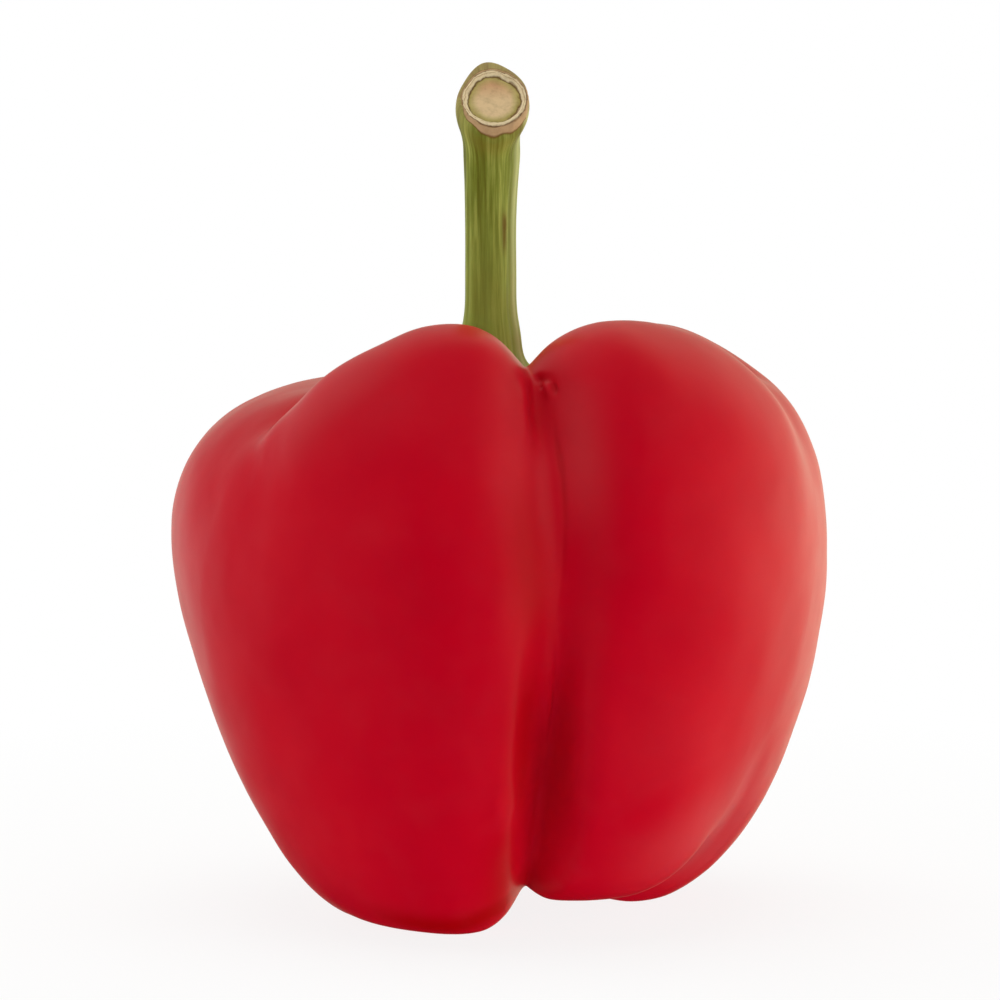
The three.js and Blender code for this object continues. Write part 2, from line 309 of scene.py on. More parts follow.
class StemSettings(bpy.types.PropertyGroup):
    """Sizes and colours of the stem."""

    bark: colour("Bark", "#7C8632", "Olive green of the stalk")
    streak: colour("Streak", "#62641A", "Darker fibres in the valleys of the stalk")
    pale: colour("Pale fibre", "#A8AE56", "Lighter fibres on the ribs of the stalk")
    base: colour("Base", "#A0B452", "Paler green towards the calyx")
    ridge: colour("Ridge", "#C4C88C", "Pale ridge up the right of the stalk")
    # Also the darker brown just under the front lip.
    stain: colour("Stain", "#6A5418", "Brown streak where the stalk was rubbed")
    cork: colour("Cork", "#BB9A72", "Dried lip round the cut")
    # Also painted as shade in the dark line where the pith meets the woody ring.
    rust_and_painted_shade: colour("Rust", "#6B4522", "Dark brown in the cracks of the cut")
    ring: colour("Woody ring", "#E8D6AE", "Cream ring of wood round the pith")
    pith: colour("Pith", "#DCC094", "Tan middle of the cut")
    pith_top: colour("Upper pith", "#C89A72", "Orange tinge in the upper part of the pith")
    pith_edge: colour("Pith edge", "#B2A462", "Olive tan towards the edge of the pith")
    cut_height: length("Cut height", 114.2, "Height of the middle of the cut")
    cut_radius: length("Cut radius", 4.8, "Radius of the cut in plan")
    cut_aside: length("Cut aside", 0.7, "How far the cut sits to the right of the stalk's axis")
    cut_slope: incline("Cut slope", 39, "Angle of the cut from level")
    lip: length("Lip", 0.15, "Height of the dried lip at the back and the left of the cut")
    lip_front: length("Front lip", 1.6, "Height of the dried lip at the front of the cut")
    rib_depth: length("Rib depth", 0.3, "Depth of the valleys between the stalk's ribs")
    roundings: IntProperty(name="Roundings", description="Times that the facets are rounded", default=2)


class StageSettings(bpy.types.PropertyGroup):
    """Camera, floor and lights."""

    elevation: incline("Elevation", 7, "Camera's angle above level")
    distance: length("Distance", 800, "Camera's distance from the middle of the view")
    aim: length("Aim", 58, "Height of the middle of the view")
    lens: FloatProperty(name="Lens", description="Focal length in millimetres", default=205.7)
    floor: colour("Floor", "#F4F3F1", "Pale floor")


def settings():
    """The settings of the fruit, the stem and the stage."""
    return bpy.context.scene.pepper_fruit, bpy.context.scene.pepper_stem, bpy.context.scene.pepper_stage


def node(tree, kind, inputs=None, **options):
    """A new node with its options set and its inputs given values or links."""
    made = tree.nodes.new(kind)
    for name, value in options.items():
        setattr(made, name, value)
    for name, value in (inputs or {}).items():
        if isinstance(value, bpy.types.NodeSocket):
            tree.links.new(value, made.inputs[name])
        else:
            made.inputs[name].default_value = value
    return made


def fill_ramp(ramp, stops):
    """Gives a colour ramp its stops: a place and a colour each."""
    elements = ramp.color_ramp.elements
    while len(elements) < len(stops):
        elements.new(1)
    for element, (place, shade) in zip(elements, stops):
        element.position = place
        element.color = rgba(shade)


def new_material(name):
    """A material with an empty node tree."""
    material = bpy.data.materials.new(name)
    material.use_nodes = True
    material.node_tree.nodes.clear()
    return material, material.node_tree


def rgba(shade):
    """A colour as the sockets take it."""
    return (*shade, 1)


def select_only(piece):
    """Selects one piece alone, and makes it the active one."""
    bpy.ops.object.select_all(action="DESELECT")
    piece.select_set(True)
    bpy.context.view_layer.objects.active = piece


def solid_copy(node_name, name):
    """A copy of a solid with its facets merged and paired into quads."""
    solid = frame["nodes"][node_name]
    select_only(solid)
    bpy.ops.object.duplicate()
    piece = bpy.context.view_layer.objects.active
    piece.name = name
    piece.data.name = name
    bpy.ops.object.parent_clear(type="CLEAR_KEEP_TRANSFORM")
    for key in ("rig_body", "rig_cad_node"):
        del piece[key]
    bpy.ops.object.mode_set(mode="EDIT")
    bpy.ops.mesh.select_all(action="SELECT")
    bpy.ops.mesh.remove_doubles(threshold=MERGE_GAP * MM)
    bpy.ops.mesh.tris_convert_to_quads(face_threshold=math.pi, shape_threshold=math.pi)
    bpy.ops.object.mode_set(mode="OBJECT")
    return piece


def round_off(piece, times):
    """Rounds a piece's facets into a smooth surface."""
    select_only(piece)
    rounding = piece.modifiers.new("rounding", "SUBSURF")
    rounding.levels = times
    rounding.render_levels = times
    bpy.ops.object.modifier_apply(modifier=rounding.name)
    bpy.ops.object.shade_smooth()


def places(piece):
    """Places of a piece's vertices, in millimetres."""
    flat = np.zeros(len(piece.data.vertices) * 3)
    piece.data.vertices.foreach_get("co", flat)
    return flat.reshape(-1, 3) / MM


def weigh(piece, name, weights):
    """A vertex group of a piece with a weight for each vertex."""
    group = piece.vertex_groups.new(name=name)
    for index in np.flatnonzero(weights > LEAST_WEIGHT):
        group.add([int(index)], float(weights[index]), "REPLACE")
    return group


def push(piece, name, weights, distance, texture=None):
    """Moves a piece's surface along its normals, by a distance in millimetres where the weight is 1."""
    select_only(piece)
    group = weigh(piece, name, weights)
    shift = piece.modifiers.new(name, "DISPLACE")
    shift.vertex_group = group.name
    shift.strength = distance * MM
    shift.mid_level = 0
    if texture is not None:
        shift.texture = texture
        shift.mid_level = 0.5
    bpy.ops.object.modifier_apply(modifier=shift.name)
    piece.vertex_groups.clear()


def keep_values(piece, name, values):
    """Stores a number for each vertex of a piece, for its material."""
    piece.data.attributes.new(name, "FLOAT", "POINT").data.foreach_set("value", values)


def course_on(piece, course, steps=150):
    """A course's places on a piece's surface, in millimetres."""
    points = np.array(course)
    ways = np.linspace(0, len(points) - 1, steps)
    angles = np.radians(np.interp(ways, range(len(points)), points[:, 0]))
    heights = np.interp(ways, range(len(points)), points[:, 1])
    bpy.context.view_layer.update()
    found = []
    for angle, height in zip(angles, heights):
        out = Vector((math.cos(angle), math.sin(angle), 0))
        hit, place, *_ = piece.ray_cast(out * FAR + Vector((0, 0, height * MM)), -out)
        if not hit:
            raise ValueError(f"A course leaves {piece.name} at {height:.1f} mm")
        found.append(place / MM)
    return np.array(found)


def nearness(spots, line, width):
    """How near spots are to a line: 1 on its middle, and smoothly less to its sides and its ends."""
    reach = SIDE_REACH * width
    around = np.all((spots > line.min(axis=0) - reach) & (spots < line.max(axis=0) + reach), axis=1)
    close = spots[around]
    apart = (close ** 2).sum(axis=1)[:, None] + (line ** 2).sum(axis=1) - 2 * close @ line.T
    along = np.linspace(0, 1, len(line))
    strength = np.clip(np.minimum(along, 1 - along) / END_FADE, END_STRENGTH, 1)
    step = np.linalg.norm(np.diff(line, axis=0), axis=1).mean()
    near = np.zeros(len(spots))
    near[around] = np.exp(-apart / width ** 2) @ strength * step / (width * math.sqrt(math.pi))
    return np.minimum(near, 1)


def near_mark(piece, mark):
    """How near each vertex of a piece is to a mark."""
    return nearness(places(piece), course_on(piece, mark.course), mark.width)


def strongest(piece, marks):
    """The strength of the strongest of some marks at each vertex of a piece."""
    return np.max([mark.depth * near_mark(piece, mark) for mark in marks], axis=0)


def even_out(piece, mark):
    """Smooths a piece's surface along a mark, as often as its depth says."""
    close = near_mark(piece, mark)
    select_only(piece)
    group = weigh(piece, mark.name, close)
    even = piece.modifiers.new(mark.name, "SMOOTH")
    even.vertex_group = group.name
    even.iterations = mark.depth
    bpy.ops.object.modifier_apply(modifier=even.name)
    piece.vertex_groups.clear()


def swell(piece, name, height, size):
    """Raises and sinks a piece's whole surface in soft clouds."""
    clouds = bpy.data.textures.new(name, "CLOUDS")
    clouds.noise_scale = size
    clouds.noise_depth = 1
    push(piece, name, np.ones(len(places(piece))), height / MM, clouds)


def refine(piece, chosen, cuts):
    """Divides the faces of a piece whose corners are all chosen."""
    select_only(piece)
    bpy.ops.object.mode_set(mode="EDIT")
    bpy.ops.mesh.select_all(action="DESELECT")
    bpy.ops.object.mode_set(mode="OBJECT")
    piece.data.vertices.foreach_set("select", chosen)
    bpy.ops.object.mode_set(mode="EDIT")
    bpy.ops.mesh.select_mode(type="VERT")
    bpy.ops.mesh.subdivide(number_cuts=cuts)
    bpy.ops.object.mode_set(mode="OBJECT")


def skin_material(look):
    """Ripe pepper skin: a thin smooth wax over deeply coloured flesh, so it is saturated where it faces
    the eye and takes soft pale reflections where it turns away. Pale sheen is painted on in bands, and
    shade is painted in as a deeper red in its folds, hollows and undersides."""
    material, tree = new_material("waxy_pepper_skin")
    place = node(tree, "ShaderNodeTexCoord").outputs["Object"]
    clouds = node(
        tree,
        "ShaderNodeTexNoise",
        {"Vector": place, "Scale": 1 / CLOUD_SIZE, "Detail": 4, "Roughness": 0.6},
    )
    ramp = node(tree, "ShaderNodeValToRGB", {"Fac": clouds.outputs["Fac"]})
    fill_ramp(ramp, [(0.3, look.deep), (0.5, look.skin), (0.72, look.bright)])
    # Painted shade: the red is deepened in folds, hollows and undersides.
    crease_and_painted_shade = node(tree, "ShaderNodeAttribute", attribute_name="crease_and_painted_shade")
    red = node(
        tree,
        "ShaderNodeMixRGB",
        {"Fac": crease_and_painted_shade.outputs["Fac"], "Color1": ramp.outputs["Color"], "Color2": rgba(look.crease_and_painted_shade)},
    )
    # Painted sheen: pale bands, and a faint haze of it everywhere, pale the red like a reflection.
    haze = node(
        tree,
        "ShaderNodeTexNoise",
        {"Vector": place, "Scale": 1 / HAZE_SIZE, "Detail": 4, "Roughness": 0.6},
    )
    sheen_haze = node(
        tree,
        "ShaderNodeMapRange",
        {"Value": haze.outputs["Fac"], "From Min": 0.45, "From Max": 0.75, "To Min": 0, "To Max": 0.012},
    )
    painted_sheen = node(tree, "ShaderNodeAttribute", attribute_name="painted_sheen")
    sheen_share = node(
        tree, "ShaderNodeMath", {0: painted_sheen.outputs["Fac"], 1: sheen_haze.outputs["Result"]}, operation="ADD"
    )
    sheened = node(
        tree,
        "ShaderNodeMixRGB",
        {"Fac": sheen_share.outputs["Value"], "Color1": red.outputs["Color"], "Color2": rgba(look.painted_sheen)},
    )
    rough = node(
        tree, "ShaderNodeMapRange", {"Value": haze.outputs["Fac"], "To Min": 0.3, "To Max": 0.42}
    )
    pores = node(tree, "ShaderNodeTexNoise", {"Vector": place, "Scale": 1 / PORE_SIZE, "Detail": 2})
    bump = node(
        tree, "ShaderNodeBump", {"Height": pores.outputs["Fac"], "Strength": 0.06, "Distance": 0.1 * MM}
    )
    shader = node(
        tree,
        "ShaderNodeBsdfPrincipled",
        {
            "Base Color": sheened.outputs["Color"],
            "Roughness": rough.outputs["Result"],
            "IOR": 1.42,
            "Normal": bump.outputs["Normal"],
            "Subsurface Weight": 0.12,
            "Subsurface Radius": (1.0, 0.15, 0.1),
            "Subsurface Scale": 2.5 * MM,
            "Coat Weight": 0.15,
            "Coat Roughness": 0.2,
        },
    )
    node(tree, "ShaderNodeOutputMaterial", {"Surface": shader.outputs["BSDF"]})
    return material


def bark_colour(tree, look, place, fibre):
    """Olive bark, darker in the valleys and paler on the ribs, with fine fibres over both. It pales
    towards the calyx and up the ridge, dries to tan at the cut, and is brown under the lip and where it
    was rubbed."""
    rib = node(tree, "ShaderNodeAttribute", attribute_name="rib").outputs["Fac"]
    streaky = node(
        tree,
        "ShaderNodeMapRange",
        {"Value": fibre, "From Min": 0.35, "From Max": 0.65, "To Min": 0, "To Max": 0.6},
    )
    tone = node(
        tree, "ShaderNodeMath", {0: rib, 1: 0.4, 2: streaky.outputs["Result"]}, operation="MULTIPLY_ADD"
    )
    ramp = node(tree, "ShaderNodeValToRGB", {"Fac": tone.outputs["Value"]})
    fill_ramp(ramp, [(0.2, look.streak), (0.5, look.bark), (0.85, look.pale)])
    height = node(tree, "ShaderNodeSeparateXYZ", {"Vector": place}).outputs["Z"]
    low = node(
        tree,
        "ShaderNodeMapRange",
        {
            "Value": height,
            "From Min": PALE_BARK[0] * MM,
            "From Max": PALE_BARK[1] * MM,
            "To Min": 0,
            "To Max": 0.5,
        },
    )
    fresh = node(
        tree,
        "ShaderNodeMixRGB",
        {"Fac": low.outputs["Result"], "Color1": ramp.outputs["Color"], "Color2": rgba(look.base)},
    )
    ridge = node(tree, "ShaderNodeAttribute", attribute_name="ridge").outputs["Fac"]
    ridged = node(
        tree,
        "ShaderNodeMixRGB",
        {"Fac": ridge, "Color1": fresh.outputs["Color"], "Color2": rgba(look.ridge)},
    )
    dried = node(tree, "ShaderNodeAttribute", attribute_name="dried").outputs["Fac"]
    tanned = node(
        tree,
        "ShaderNodeMixRGB",
        {"Fac": dried, "Color1": ridged.outputs["Color"], "Color2": rgba(look.cork)},
    )
    stain = node(tree, "ShaderNodeAttribute", attribute_name="stain").outputs["Fac"]
    return node(
        tree,
        "ShaderNodeMixRGB",
        {"Fac": stain, "Color1": tanned.outputs["Color"], "Color2": rgba(look.stain)},
    ).outputs["Color"]


def cut_colour(tree, look, place, way):
    """The dried cut: tan pith with an orange tinge above, a cream ring with a crack in it, and a corky
    lip, with spots of mould over them all. The dark line where the pith meets the ring is partly the
    crack's brown and partly painted shade under the ring's edge."""
    height = node(tree, "ShaderNodeSeparateXYZ", {"Vector": place}).outputs["Z"]
    up = node(
        tree,
        "ShaderNodeMapRange",
        {
            "Value": height,
            "From Min": look.cut_height + PITH_TINGE[0] * MM,
            "From Max": look.cut_height + PITH_TINGE[1] * MM,
        },
    )
    pith = node(
        tree,
        "ShaderNodeMixRGB",
        {"Fac": up.outputs["Result"], "Color1": rgba(look.pith), "Color2": rgba(look.pith_top)},
    )
    face = node(tree, "ShaderNodeValToRGB", {"Fac": way})
    fill_ramp(
        face,
        [
            (0.3, look.pith_edge),
            (0.35, look.pith_edge),
            # The dark line where the pith meets the ring: partly a crack's brown, partly painted shade.
            (0.37, look.rust_and_painted_shade),
            (0.39, look.ring),
            (0.42, look.ring),
            (0.43, look.cork),
            (0.44, look.ring),
            (0.468, look.ring),
            (0.485, look.rust_and_painted_shade),
            (0.52, look.cork),
            (0.66, look.cork),
            (0.71, look.rust_and_painted_shade),
        ],
    )
    inner = node(
        tree,
        "ShaderNodeMapRange",
        {"Value": way, "From Min": 0.24, "From Max": 0.35, "To Min": 1, "To Max": 0},
    )
    clean = node(
        tree,
        "ShaderNodeMixRGB",
        {
            "Fac": inner.outputs["Result"],
            "Color1": face.outputs["Color"],
            "Color2": pith.outputs["Color"],
        },
    )
    mould = node(
        tree,
        "ShaderNodeTexNoise",
        {"Vector": place, "Scale": 1 / MOULD_SIZE, "Detail": 4, "Roughness": 0.7},
    )
    spots = node(
        tree,
        "ShaderNodeMapRange",
        {"Value": mould.outputs["Fac"], "From Min": 0.45, "From Max": 0.75, "To Min": 0, "To Max": 0.3},
    )
    return node(
        tree,
        "ShaderNodeMixRGB",
        {"Fac": spots.outputs["Result"], "Color1": clean.outputs["Color"], "Color2": rgba(look.rust_and_painted_shade)},
    ).outputs["Color"]


def stalk_material(look):
    """Green stalk: lengthwise fibres under a dull skin, so it is streaked and only satin, and dry and
    matte where it was cut."""
    material, tree = new_material("fibrous_green_stalk")
    place = node(tree, "ShaderNodeTexCoord").outputs["Object"]
    grain = node(tree, "ShaderNodeAttribute", attribute_name="grain").outputs["Vector"]
    fibre = node(
        tree,
        "ShaderNodeTexNoise",
        {"Vector": grain, "Scale": 1 / FIBRE_WIDTH, "Detail": 5, "Roughness": 0.65},
    )
    crumb = node(tree, "ShaderNodeTexNoise", {"Vector": place, "Scale": 1 / CRUMB_SIZE, "Detail": 3})
    rim = node(tree, "ShaderNodeAttribute", attribute_name="rim").outputs["Fac"]
    ragged = node(
        tree,
        "ShaderNodeMapRange",
        {
            "Value": crumb.outputs["Fac"],
            "From Min": 0.3,
            "From Max": 0.7,
            "To Min": -0.018,
            "To Max": 0.018,
        },
    )
    way = node(
        tree, "ShaderNodeMath", {0: rim, 1: ragged.outputs["Result"]}, operation="ADD"
    ).outputs["Value"]
    dry = node(
        tree,
        "ShaderNodeMapRange",
        {"Value": way, "From Min": 0.7, "From Max": 0.75, "To Min": 1, "To Max": 0},
    ).outputs["Result"]
    shade = node(
        tree,
        "ShaderNodeMixRGB",
        {
            "Fac": dry,
            "Color1": bark_colour(tree, look, place, fibre.outputs["Fac"]),
            "Color2": cut_colour(tree, look, place, way),
        },
    )
    relief = node(
        tree,
        "ShaderNodeMixRGB",
        {"Fac": dry, "Color1": fibre.outputs["Fac"], "Color2": crumb.outputs["Fac"]},
    )
    bump = node(
        tree,
        "ShaderNodeBump",
        {"Height": relief.outputs["Color"], "Strength": 0.6, "Distance": 0.25 * MM},
    )
    rough = node(tree, "ShaderNodeMapRange", {"Value": dry, "To Min": 0.5, "To Max": 0.8})
    shader = node(
        tree,
        "ShaderNodeBsdfPrincipled",
        {
            "Base Color": shade.outputs["Color"],
            "Roughness": rough.outputs["Result"],
            "Normal": bump.outputs["Normal"],
        },
    )
    node(tree, "ShaderNodeOutputMaterial", {"Surface": shader.outputs["BSDF"]})
    return material


def floor_material(look):
    """Matte pale paper that fades to white away from the pepper."""
    material, tree = new_material("pale_floor")
    place = node(tree, "ShaderNodeTexCoord").outputs["Object"]
    reach = node(tree, "ShaderNodeVectorMath", {0: place}, operation="LENGTH")
    far = node(
        tree,
        "ShaderNodeMapRange",
        {
            "Value": reach.outputs["Value"],
            "From Min": 0.03,
            "From Max": 0.18,
            "To Min": 0.86,
            "To Max": 1,
        },
    )
    matte = node(tree, "ShaderNodeBsdfDiffuse", {"Color": rgba(look.floor)})
    glow = node(tree, "ShaderNodeEmission", {"Color": (1, 1, 1, 1), "Strength": 1})
    lit = node(
        tree,
        "ShaderNodeMixShader",
        {0: far.outputs["Result"], 1: matte.outputs["BSDF"], 2: glow.outputs["Emission"]},
    )
    path = node(tree, "ShaderNodeLightPath")
    seen = node(
        tree,
        "ShaderNodeMixShader",
        {0: path.outputs["Is Camera Ray"], 1: matte.outputs["BSDF"], 2: lit.outputs["Shader"]},
    )
    node(tree, "ShaderNodeOutputMaterial", {"Surface": seen.outputs["Shader"]})
    return material


class PEPPER_OT_fruit(bpy.types.Operator):
    """Makes the fruit from its solid"""

    bl_idname = "pepper.make_fruit"
    bl_label = "Make the fruit"

    def execute(self, context):
        look = settings()[0]
        piece = solid_copy("fruit", "pepper_fruit")
        for mark in FLESH_EVENED:
            even_out(piece, mark)
        round_off(piece, look.roundings)
        swell(piece, "swelling", look.swell, look.swell_size)
        swell(piece, "ripple", look.ripple, look.ripple_size)
        fold = course_on(piece, FRONT_FOLD)
        refine(piece, nearness(places(piece), fold, FINE_WIDTH) > FINE_SHARE, FINE_CUTS)
        for mark in SKIN_EVENED:
            even_out(piece, mark)
        # The bottoms of narrow folds and the listed hollows are painted a deeper red as shade, and the
        # painted sheen fades where that shade is painted.
        fold_painted_shade = np.zeros(len(places(piece)))
        for mark in SKIN_FOLDS:
            close = near_mark(piece, mark)
            push(piece, mark.name, close, -mark.depth)
            if mark.depth > 0 and mark.width < NARROW_FOLD:
                fold_painted_shade = np.maximum(fold_painted_shade, close * FOLD_RED)
        hollow_painted_shade = strongest(piece, SKIN_PAINTED_SHADES)
        keep_values(piece, "crease_and_painted_shade", np.maximum(fold_painted_shade, hollow_painted_shade))
        keep_values(piece, "painted_sheen", strongest(piece, SKIN_PAINTED_SHEEN) * np.clip(1 - SHEEN_LOSS * hollow_painted_shade, 0, 1))
        piece.data.materials.clear()
        piece.data.materials.append(skin_material(look))
        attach(piece, "root")
        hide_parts("fruit")
        return {"FINISHED"}


def bell(values, middle, spread):
    """1 where values are at the middle, and smoothly less to its sides."""
    return np.exp(-(((values - middle) / spread) ** 2))


def lie_of_stem(piece, look):
    """For each vertex of the stem: its angle round the stalk's axis, its distance from the axis, its
    share of the way from the middle of the cut to the rim, and its depth below the cut."""
    spots = places(piece)
    straight = (spots[:, 2] > STRAIGHT_STALK[0]) & (spots[:, 2] < STRAIGHT_STALK[1])
    x, y = (spots[:, :2] - spots[straight, :2].mean(axis=0)).T
    across = np.hypot(x - look.cut_aside / MM, y) * MM / look.cut_radius
    below = look.cut_height / MM + y * math.tan(look.cut_slope) - spots[:, 2]
    return np.arctan2(y, x), np.hypot(x, y), across, below


def rim_way(piece, look):
    """The way over the cut: 0 in its middle, half of PITH_EDGE and RING_EDGE where the pith and the
    woody ring end, and LIP_END at the torn lower edge of the dried lip."""
    angle, _, across, below = lie_of_stem(piece, look)
    ring_edge = RING_EDGE - RING_BACK * np.clip(np.sin(angle), 0, 1)
    on_ring = (across - PITH_EDGE) / (ring_edge - PITH_EDGE)
    face = np.where(on_ring < 0, across, PITH_EDGE + (RING_EDGE - PITH_EDGE) * on_ring) / 2
    torn = 1 + sum(high * np.sin(count * angle + start) for count, high, start in LIP_WAVES)
    lip = torn * (look.lip + (look.lip_front - look.lip) * np.clip(np.cos(angle - LIP_WAY), 0, 1)) / MM
    over_rim = np.clip(across - ring_edge, 0, RIM_SHARE) * look.cut_radius / MM
    past_ring = (over_rim + np.clip(below, 0, LIP_DEPTH)) / lip
    on_face = (across < ring_edge) & (below < CUT_DIP + np.clip(np.sin(angle), 0, 1))
    off_face = RING_EDGE / 2 + (LIP_END - RING_EDGE / 2) * past_ring
    return np.where(on_face, face, np.minimum(off_face, BARK_WAY))


def pale_ridge(angle):
    """How near an angle is to the pale ridge of the stalk."""
    return RIDGE_STRENGTH * bell(angle, RIDGE_WAY, RIDGE_SPREAD)


def stalk_ribs(piece, look):
    """Ribs of the stalk that wander a little on their way up: 0 in a valley and 1 on a rib."""
    angle = lie_of_stem(piece, look)[0]
    wander = RIB_WANDER * np.sin(places(piece)[:, 2] / RIB_WAVE)
    ribs = sum(high * np.cos(count * angle + start + sway * wander) for count, high, start, sway in RIBS)
    return np.clip(RIB_MIDDLE + ribs + RIDGE_RISE * pale_ridge(angle), 0, 1)


def flute_stalk(piece, look):
    """Sinks the valleys between the stalk's ribs, which run on over the calyx."""
    _, out, _, below = lie_of_stem(piece, look)
    clear_of_cut = np.clip((below - RIBS_BELOW) / RIBS_BELOW, 0, 1)
    on_calyx = np.clip((out - STALK_RADIUS) / CALYX_WIDTH, 0, 1)
    on_stalk = clear_of_cut * (1 - CALYX_EASE * on_calyx)
    push(piece, "valleys", on_stalk * (1 - stalk_ribs(piece, look)), -look.rib_depth / MM)


def roughen_cut(piece, look, rim):
    """Cracks and ragged edges of the cut, and the neck under its lip."""
    for number, (way, spread, depth) in enumerate(CUT_CRACKS):
        push(piece, f"crack_{number}", bell(rim, way, spread), -depth)
    clouds = bpy.data.textures.new("ragged", "CLOUDS")
    clouds.noise_scale = RAGGED_SIZE
    way, spread, height = RAGGED_EDGE
    push(piece, "ragged", bell(rim, way, spread), height, clouds)
    angle, _, _, below = lie_of_stem(piece, look)
    under, spread, depth = NECK
    round_neck = NECK_ROUND + (1 - NECK_ROUND) * np.clip(np.cos(angle), 0, 1)
    push(piece, "neck", bell(below, under, spread) * round_neck, -depth)


def slim_base(piece, look):
    """Draws in the right of the stalk's foot, where it widens to the calyx."""
    angle, out, _, _ = lie_of_stem(piece, look)
    height, spread, depth = SLIM_FOOT
    low = bell(places(piece)[:, 2], height, spread) * (out < FOOT_RADIUS)
    push(piece, "slim_base", low * np.clip(np.cos(angle), 0, 1), -depth)


def keep_stem_values(piece, look, rim):
    """Stores what the stem's material follows."""
    angle, out, _, below = lie_of_stem(piece, look)
    spots = places(piece)
    front = np.clip(-np.sin(angle), 0, 1)
    # Darker brown just under the front lip, kept with the rubbed streak's brown.
    under, spread, strength = UNDER_LIP_DARKENING
    under_lip = strength * front * bell(below, under, spread)
    keep_values(piece, "rim", rim)
    keep_values(piece, "dried", DRIED_SHARE * np.clip(1 - below / DRIED_DEPTH, 0, 1) * (1 - front))
    keep_values(piece, "ridge", pale_ridge(angle))
    keep_values(piece, "rib", stalk_ribs(piece, look))
    keep_values(piece, "stain", np.maximum(under_lip, near_mark(piece, STAIN)))
    along = GRAIN_STRETCH * (spots[:, 2] - out)
    grain = np.column_stack((GRAIN_RADIUS * np.cos(angle), GRAIN_RADIUS * np.sin(angle), along))
    piece.data.attributes.new("grain", "FLOAT_VECTOR", "POINT").data.foreach_set("vector", grain.ravel())


class PEPPER_OT_stem(bpy.types.Operator):
    """Makes the stem and its calyx from their solid"""

    bl_idname = "pepper.make_stem"
    bl_label = "Make the stem"

    def execute(self, context):
        look = settings()[1]
        piece = solid_copy("stem", "pepper_stem")
        round_off(piece, look.roundings)
        rim = rim_way(piece, look)
        flute_stalk(piece, look)
        roughen_cut(piece, look, rim)
        slim_base(piece, look)
        keep_stem_values(piece, look, rim)
        piece.data.materials.clear()
        piece.data.materials.append(stalk_material(look))
        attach(piece, "root")
        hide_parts("stem")
        return {"FINISHED"}


def softbox(name, azimuth, elevation, width, height, watts):
    """A large soft light that faces the pepper. Azimuth is measured round from the camera's side."""
    turn = math.radians(azimuth)
    tilt = math.radians(elevation)
    out = Vector((math.sin(turn) * math.cos(tilt), -math.cos(turn) * math.cos(tilt), math.sin(tilt)))
    aim = Vector((0, 0, LIGHT_AIM * MM))
    rotation = out.to_track_quat("Z", "Y").to_euler()
    bpy.ops.object.light_add(type="AREA", location=aim + out * LIGHT_DISTANCE, rotation=rotation)
    light = bpy.context.view_layer.objects.active
    light.name = name
    light.visible_camera = False
    light.visible_glossy = False
    light.data.cycles.use_multiple_importance_sampling = False
    light.data.shape = "RECTANGLE"
    light.data.size = width
    light.data.size_y = height
    light.data.energy = watts


def greys(*stops):
    """Stops of a colour ramp that give a place and a grey each."""
    return [(place, (grey, grey, grey)) for place, grey in stops]


# The tent's brightness, from straight towards the camera (0) to straight behind the pepper (1).
TENT = greys((0.07, 0), (0.2, 0.2), (0.45, 0.25), (0.63, 0.45), (0.78, 0.85), (0.93, 1))
# How much of it is left, from straight below (0) to straight above (1).
TENT_HEIGHT = greys(
    (0.05, 0),
    (0.25, 0.3),
    (0.36, 0.85),
    (0.44, 1),
    (0.5, 1),
    (0.6, 0.5),
    (0.72, 0.45),
    (0.85, 0.62),
    (0.93, 0.45),
    (1, 0.2),
)


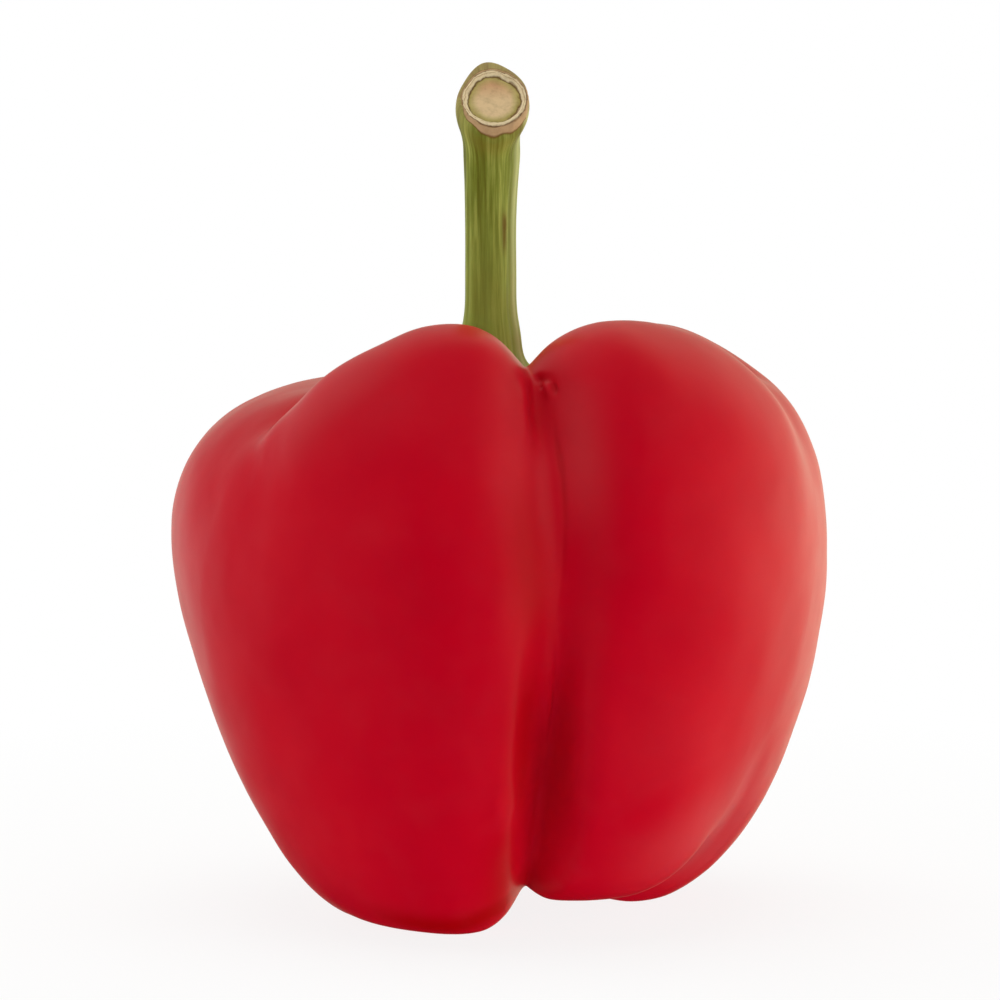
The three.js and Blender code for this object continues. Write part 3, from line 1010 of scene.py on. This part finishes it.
def surroundings():
    """A tent that is white to the eye. It is open towards the camera and dark low behind, and is
    brightest on the right, so it is reflected from the sides and from behind."""
    world = bpy.data.worlds.new("studio")
    world.use_nodes = True
    tree = world.node_tree
    tree.nodes.clear()
    way = node(tree, "ShaderNodeTexCoord").outputs["Generated"]
    parts = node(tree, "ShaderNodeSeparateXYZ", {"Vector": way})
    toward = node(
        tree, "ShaderNodeMapRange", {"Value": parts.outputs["Y"], "From Min": -1, "From Max": 1}
    )
    behind = node(tree, "ShaderNodeValToRGB", {"Fac": toward.outputs["Result"]})
    fill_ramp(behind, TENT)
    aside = node(
        tree,
        "ShaderNodeMapRange",
        {"Value": parts.outputs["X"], "From Min": -0.8, "From Max": 0.8, "To Min": 0.55, "To Max": 1.3},
    )
    height = node(
        tree, "ShaderNodeMapRange", {"Value": parts.outputs["Z"], "From Min": -1, "From Max": 1}
    )
    above = node(tree, "ShaderNodeValToRGB", {"Fac": height.outputs["Result"]})
    fill_ramp(above, TENT_HEIGHT)
    low = node(tree, "ShaderNodeMath", {0: parts.outputs["Z"], 1: 0}, operation="MINIMUM")
    low_back = node(
        tree, "ShaderNodeMath", {0: parts.outputs["Y"], 1: low.outputs["Value"]}, operation="MULTIPLY"
    )
    clear = node(
        tree,
        "ShaderNodeMapRange",
        {
            "Value": low_back.outputs["Value"],
            "From Min": -0.38,
            "From Max": -0.24,
            "To Min": 0.05,
            "To Max": 1,
        },
    )
    side = node(
        tree,
        "ShaderNodeMath",
        {0: behind.outputs["Color"], 1: aside.outputs["Result"]},
        operation="MULTIPLY",
    )
    wall = node(
        tree,
        "ShaderNodeMath",
        {0: side.outputs["Value"], 1: above.outputs["Color"]},
        operation="MULTIPLY",
    )
    bright = node(
        tree,
        "ShaderNodeMath",
        {0: wall.outputs["Value"], 1: clear.outputs["Result"]},
        operation="MULTIPLY",
    )
    tint = node(tree, "ShaderNodeValToRGB", {"Fac": aside.outputs["Result"]})
    fill_ramp(tint, [(0.55, (1, 0.98, 0.95)), (1, (1, 0.95, 0.7))])
    path = node(tree, "ShaderNodeLightPath")
    tent = node(
        tree,
        "ShaderNodeBackground",
        {"Color": tint.outputs["Color"], "Strength": bright.outputs["Value"]},
    )
    white = node(tree, "ShaderNodeBackground", {"Color": (1, 1, 1, 1), "Strength": 1})
    seen = node(
        tree,
        "ShaderNodeMixShader",
        {
            0: path.outputs["Is Camera Ray"],
            1: tent.outputs["Background"],
            2: white.outputs["Background"],
        },
    )
    node(tree, "ShaderNodeOutputWorld", {"Surface": seen.outputs["Shader"]})
    bpy.context.scene.world = world


class PEPPER_OT_stage(bpy.types.Operator):
    """Sets up the floor, the lights and the camera"""

    bl_idname = "pepper.set_stage"
    bl_label = "Set the stage"

    def execute(self, context):
        look = settings()[2]
        bpy.ops.object.select_all(action="DESELECT")
        bpy.ops.mesh.primitive_plane_add(size=FLOOR_SIZE)
        floor = context.view_layer.objects.active
        floor.name = "floor"
        floor.visible_glossy = False
        floor.visible_diffuse = False
        floor.visible_shadow = False
        floor.data.materials.append(floor_material(look))
        for azimuth in RING_WAYS:
            watts = RING_WATTS + RING_RIGHT * azimuth + RING_SIDES * abs(azimuth)
            softbox(f"ring_{azimuth}", azimuth, RING_ELEVATION, *RING_SIZE, watts)
        softbox("top", azimuth=0, elevation=90, width=0.8, height=0.8, watts=6)
        softbox("upper_left", azimuth=-115, elevation=40, width=0.6, height=0.6, watts=1.8)
        surroundings()
        back = Vector((0, -math.cos(look.elevation), math.sin(look.elevation)))
        bpy.ops.object.camera_add(
            location=Vector((0, 0, look.aim)) + back * look.distance,
            rotation=back.to_track_quat("Z", "Y").to_euler(),
        )
        camera = context.view_layer.objects.active
        camera.data.sensor_width = SENSOR
        camera.data.lens = look.lens
        context.scene.camera = camera
        context.scene.view_settings.view_transform = "Standard"
        return {"FINISHED"}


class PEPPER_PT_panel(bpy.types.Panel):
    """Lists the pepper's settings and steps"""

    bl_idname = "PEPPER_PT_panel"
    bl_label = "Red bell pepper"
    bl_space_type = "VIEW_3D"
    bl_region_type = "UI"
    bl_category = "Pepper"

    def draw(self, context):
        steps = (PEPPER_OT_fruit, PEPPER_OT_stem, PEPPER_OT_stage)
        for group, step in zip(settings(), steps):
            box = self.layout.box()
            for name in group.__annotations__:
                box.prop(group, name)
            box.operator(step.bl_idname)


SETTINGS = {"pepper_fruit": FruitSettings, "pepper_stem": StemSettings, "pepper_stage": StageSettings}
CLASSES = (*SETTINGS.values(), PEPPER_OT_fruit, PEPPER_OT_stem, PEPPER_OT_stage, PEPPER_PT_panel)


def register():
    """Makes the settings, steps and panel known."""
    for kind in CLASSES:
        bpy.utils.register_class(kind)
    for name, kind in SETTINGS.items():
        setattr(bpy.types.Scene, name, PointerProperty(type=kind))


def unregister():
    """Takes back what register made known."""
    for name in SETTINGS:
        delattr(bpy.types.Scene, name)
    for kind in reversed(CLASSES):
        bpy.utils.unregister_class(kind)


def main():
    """Makes the pepper and its stage."""
    register()
    bpy.ops.pepper.make_fruit()
    bpy.ops.pepper.make_stem()
    bpy.ops.pepper.set_stage()


if __name__ == "__main__":
    main()
